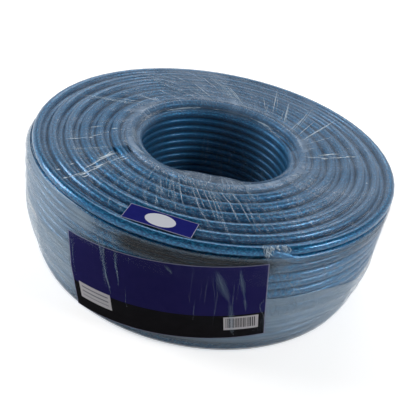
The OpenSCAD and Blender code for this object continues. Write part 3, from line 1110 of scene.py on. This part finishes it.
def gathered_film():
    """The film where it is folded on itself: pale blue, and white where many plies lie together and
    at the glints, where the white is a painted highlight.
    """
    material, tree = new_material("folded_polyethylene_film_and_painted_glints")
    density = attribute(tree, "gather_and_glint")
    colour = over(tree, "#86abc8", "#e4f3ff", ranged(tree, density, 0.3, 0.85))
    return shaded(material, {"Base Color": colour, "Alpha": density, "Roughness": 0.18,
                             "IOR": 1.51})


def frame_of(tree, origin, tilt, azimuth):
    """Object coordinates in metres from the middle of a print on the coil, whole and in parts."""
    turn = (math.radians(tilt), 0, math.radians(azimuth))
    own = add_node(tree, "Mapping", {"Vector": object_place(tree), "Location": origin,
                                     "Rotation": turn}, vector_type="TEXTURE").outputs["Vector"]
    return own, add_node(tree, "SeparateXYZ", {"Vector": own}).outputs


def inside(tree, across, up, middle, size):
    """1 inside a rectangle of a print and 0 outside it."""
    in_width = calculate(tree, "COMPARE", across, middle[0], size[0] / 2)
    in_height = calculate(tree, "COMPARE", up, middle[1], size[1] / 2)
    return calculate(tree, "MULTIPLY", in_width, in_height)


def coated_paper(material, edge, ink, printed):
    """Matt ink on coated paper, which is bare and pale at its cut edges."""
    return shaded(material, {"Base Color": over(material.node_tree, edge, ink, printed),
                             "Roughness": 0.5, "Specular IOR Level": 0.0})


# Parts of the label's print: the middle and the size of each.
LIGHT_PANELS = (((-45 * MM, -13 * MM), (24 * MM, 14 * MM)),
                ((48 * MM, -15.4 * MM), (20 * MM, 12.6 * MM)))
RULED_AREA = ((-45 * MM, -12.4 * MM), (20 * MM, 9 * MM))
BAR_AREA = ((48 * MM, -15.0 * MM), (17.4 * MM, 9.4 * MM))
BLACK_TOP = -7.6 * MM  # of the black ground, under the blue one
RULE_PITCH = 1.9 * MM
BAR_PITCH = 0.55 * MM


def printed_label():
    """Coated paper, printed dark blue over black, with a ruled bare panel and one of plain bars.

    The film over it has the gloss, so the ink is left matt, and the cut edges show pale paper."""
    material, tree = new_material("coated_paper_printed_blue_and_black")
    own, parts = frame_of(tree, polar(LABEL_AZIMUTH, COIL_R, LABEL_Z), LABEL_TILT, LABEL_AZIMUTH)
    across, up = parts["Y"], parts["Z"]
    mottle = blotches(tree, own, 7 * MM)
    blue = over(tree, "#26245a", "#2e2b62", mottle)
    black = over(tree, "#1c1b1d", "#27262a", mottle)
    colour = over(tree, blue, black, calculate(tree, "LESS_THAN", up, BLACK_TOP))
    for panel in LIGHT_PANELS:
        colour = over(tree, colour, "#cfccd0", inside(tree, across, up, *panel))
    ruled = add_node(tree, "TexWave",
                     {"Vector": own, "Scale": 1 / (RULE_PITCH * 2 * math.pi)},
                     bands_direction="Z").outputs["Fac"]
    bars = drawn_out(tree, own, (math.inf, BAR_PITCH, math.inf), 0.0)
    for pattern, limit, area, ink in ((ruled, 0.8, RULED_AREA, "#85868f"),
                                      (bars, 0.5, BAR_AREA, "#2a2a2e")):
        inked = calculate(tree, "MULTIPLY", calculate(tree, "GREATER_THAN", pattern, limit),
                          inside(tree, across, up, *area))
        colour = over(tree, colour, ink, inked)
    printed = inside(tree, across, up, (0.0, 0.0), (LABEL_W - 1.0 * MM, LABEL_H - 0.8 * MM))
    return coated_paper(material, "#8f90ab", colour, printed)


OVAL_SIZE = (12.0 * MM, 18.6 * MM)


def printed_sticker():
    """Coated paper, printed dark blue, with a bare white oval and a pale cut edge."""
    material, tree = new_material("coated_paper_printed_blue")
    own, parts = frame_of(tree, polar(STICKER_AZIMUTH, STICKER_R, COIL_H), 0, STICKER_AZIMUTH)
    colour = over(tree, "#1e226c", "#262a7a", blotches(tree, own, 5 * MM))
    squeezed = add_node(tree, "VectorMath",
                        {0: own, 1: (2 / OVAL_SIZE[0], 2 / OVAL_SIZE[1], 0)},
                        operation="MULTIPLY").outputs["Vector"]
    oval = calculate(tree, "LESS_THAN", length_of(tree, squeezed), 1.0)
    colour = over(tree, colour, "#dcdfe8", oval)
    printed = inside(tree, parts["X"], parts["Y"], (0.0, 0.0),
                     [side - 0.7 * MM for side in STICKER_SIZE])
    return coated_paper(material, "#a9abc4", colour, printed)


def laid_strands(name, dark, light, pitch, metallic, roughness, strength, lay):
    """Fine wires or yarns laid at an angle round the cable's cut end."""
    material, tree = new_material(name)
    turned = add_node(tree, "Mapping",
                      {"Vector": object_place(tree), "Rotation": (0, 0, math.radians(lay))})
    bands = add_node(tree, "TexWave",
                     {"Vector": turned.outputs["Vector"], "Scale": 1 / (pitch * 2 * math.pi),
                      "Distortion": 1.5, "Detail": 2.0}).outputs["Fac"]
    return shaded(material, {"Base Color": over(tree, dark, light, bands),
                             "Normal": relief(tree, bands, strength), "Metallic": metallic,
                             "Roughness": roughness})


def extruded_pe(name, dark, light):
    """Extruded polyethylene insulation: waxy, with faint cloudiness."""
    material, tree = new_material(name)
    clouds = blotches(tree, object_place(tree), 0.8 * MM)
    return shaded(material, {"Base Color": over(tree, dark, light, clouds),
                             "Roughness": 0.45, "IOR": 1.51})


def cut_jacket():
    """The blue PVC at the cable's cut ends, seen solid and a little cloudy."""
    material, tree = new_material("clear_blue_pvc_cut_end")
    flecks = blotches(tree, object_place(tree), 1.0 * MM, 2.0)
    fleck = ranged(tree, flecks, 0.42, 0.66, interpolation_type="SMOOTHSTEP")
    return shaded(material, {"Base Color": over(tree, "#104b7c", "#3f93cc", fleck),
                             "Metallic": 0.3, "Roughness": 0.34, "Coat Weight": 1.0,
                             "Coat Roughness": 0.07})


def dress(piece, material):
    """Give a piece one material."""
    piece.data.materials.clear()
    piece.data.materials.append(material)


dress(inner_cable, clear_blue_pvc(BORE_HELIX_TURNS * 2 * math.pi * BORE_HELIX_R, 0.12, 0.42))
dress(outer_cable, clear_blue_pvc(0, 0.55, 0.36))
dress(through_wrap, clear_stretch_film())
girth = hazy_girth_film()
for piece in (upper_girth, lower_girth):
    dress(piece, girth)
folded = gathered_film()
for piece in (face_creases, wall_creases, bore_creases):
    dress(piece, folded)

end_materials = {
    "jacket": cut_jacket(),
    "shield": laid_strands("tinned_copper_served_shield", "#8e9194", "#d9dcde", 0.25 * MM, 1.0,
                           0.32, 0.5, 40),
    "wrap": laid_strands("spun_cotton_wrap", "#cfc8b6", "#efeadf", 0.35 * MM, 0.0, 0.9, 0.4, 20),
    "fillers": laid_strands("twisted_cotton_filler", "#c4bba4", "#e6dfcd", 0.3 * MM, 0.0, 0.9,
                            0.4, 30),
    "red_insulation": extruded_pe("red_polyethylene_insulation", "#9e2a22", "#b83a30"),
    "white_insulation": extruded_pe("natural_polyethylene_insulation", "#e2dfd5", "#f3f1ea"),
    "conductor": laid_strands("bare_stranded_copper", "#a8612f", "#dc9560", 0.2 * MM, 1.0, 0.3,
                              0.5, 15)}
for node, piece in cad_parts.items():
    for part, material in end_materials.items():
        if node.endswith(part):
            dress(piece, material)
dress(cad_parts["side_label"], printed_label())
dress(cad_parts["top_sticker"], printed_sticker())


# ---------------- floor, lights and backdrop
def make_floor():
    """A pale floor that looks white and keeps the coil's shadow."""
    bpy.ops.mesh.primitive_circle_add(vertices=64, radius=6, fill_type="NGON",
                                      location=(0, 0, -0.2 * MM))
    floor = bpy.context.object
    floor.name = "floor"
    bpy.ops.object.transform_apply(location=True)
    material, tree = new_material("matt_white_backdrop_paper")
    rays = add_node(tree, "LightPath").outputs
    seen = calculate(tree, "MAXIMUM", rays["Is Camera Ray"], rays["Is Glossy Ray"])
    seen = calculate(tree, "MAXIMUM", seen, rays["Is Transmission Ray"])
    open_floor = ranged(tree, length_of(tree, object_place(tree)), 110 * MM, 125 * MM, 0.0, 0.62)
    lift = calculate(tree, "MULTIPLY", seen, open_floor)
    dress(floor, shaded(material, {"Base Color": "#f2f2f2", "Roughness": 0.9,
                                   "Specular IOR Level": 0.0, "Emission Color": (1, 1, 1, 1),
                                   "Emission Strength": lift}))


def make_softbox(name, azimuth, elevation, distance, size, power):
    """A rectangular soft light aimed at the middle of the coil."""
    data = bpy.data.lights.new(name, "AREA")
    data.shape = "RECTANGLE"
    data.size, data.size_y = size
    data.energy = power
    lamp = bpy.data.objects.new(name, data)
    up = math.radians(elevation)
    middle = Vector((0, 0, COIL_H / 2))
    lamp.location = polar(azimuth, distance * math.cos(up), distance * math.sin(up)) + middle
    lamp.rotation_euler = (middle - lamp.location).to_track_quat("-Z", "Y").to_euler()
    bpy.context.scene.collection.objects.link(lamp)


def make_backdrop():
    """White where it is seen or mirrored near the horizon, and softer as a light."""
    world = bpy.data.worlds.new("studio")
    bpy.context.scene.world = world
    world.use_nodes = True
    tree = world.node_tree
    rays = add_node(tree, "LightPath").outputs
    way = add_node(tree, "TexCoord").outputs["Generated"]
    height = add_node(tree, "SeparateXYZ", {"Vector": way}).outputs["Z"]
    mirrored = ranged(tree, height, 0.3, 0.7, 1.0, 0.08)
    glossy = calculate(tree, "MAXIMUM", rays["Is Glossy Ray"], rays["Is Transmission Ray"])
    lit = add_node(tree, "Mix", {0: glossy, 2: 0.14, 3: mirrored}).outputs[0]
    lit = add_node(tree, "Mix", {0: rays["Is Camera Ray"], 2: lit, 3: 1.0}).outputs[0]
    connect(tree, tree.nodes["Background"], {"Strength": lit, "Color": (1, 1, 1, 1)})


make_floor()
make_backdrop()
make_softbox("left_softbox", 176, 24, 1.2, (0.5, 0.6), 8)
make_softbox("right_softbox", -16, 30, 1.2, (0.42, 0.25), 5)
make_softbox("back_softbox", 86, 44, 1.3, (0.8, 0.5), 4)
bpy.context.scene.view_settings.view_transform = "Standard"
